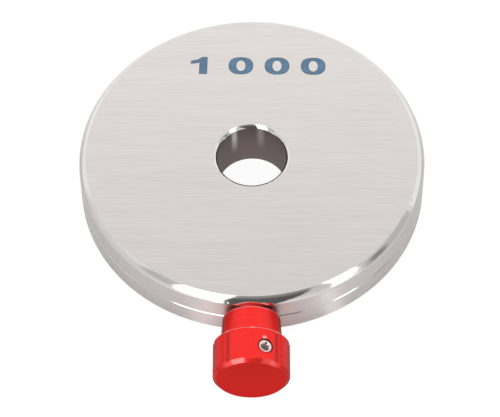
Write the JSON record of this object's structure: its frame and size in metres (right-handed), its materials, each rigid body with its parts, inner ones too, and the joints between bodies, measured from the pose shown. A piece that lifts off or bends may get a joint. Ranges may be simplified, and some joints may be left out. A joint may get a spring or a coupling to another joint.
{
  "type": "calibration weight",
  "caption": "Round steel calibration weight with a through bore and a fluted knob that drives a side screw to clamp it on a rod.",
  "frame": {"origin": "centre of the bore at half the disc's thickness", "axes": "+Z along the bore, the knob along -Y, so +X is to the right seen from the knob's side with the chamfered mouth of the bore up"},
  "size_m": [0.1, 0.1202, 0.0214],
  "materials": {
    "stainless_steel": "satin brushed faces, polished chamfers, fine turned rim",
    "plain_steel": "turned and threaded",
    "brass": "turned",
    "red_aluminium": "red anodised",
    "bright_steel": "bright, with a dark socket"
  },
  "bodies": {
    "disc": {"weight_disc": "stainless_steel"},
    "pad": {"thrust_pad": "brass"},
    "screw": {"clamp_screw": "plain_steel", "clamp_knob": "red_aluminium", "knob_grub_screw": "bright_steel"}
  },
  "joints": [
    {"name": "pad_travel", "type": "slide", "parent": "disc", "child": "pad", "axis": [0, 1, 0], "range_m": [-0.009, 0.0007]},
    {"name": "knob_turn", "type": "hinge", "parent": "pad", "child": "screw", "pos_m": [0, -0.06, 0], "axis": [0, 1, 0], "range_deg": [-2163, 171]}
  ],
  "couplings": [
    {"joint": "knob_turn", "follows": "pad_travel", "rad_per_m": 4188.8}
  ]
}
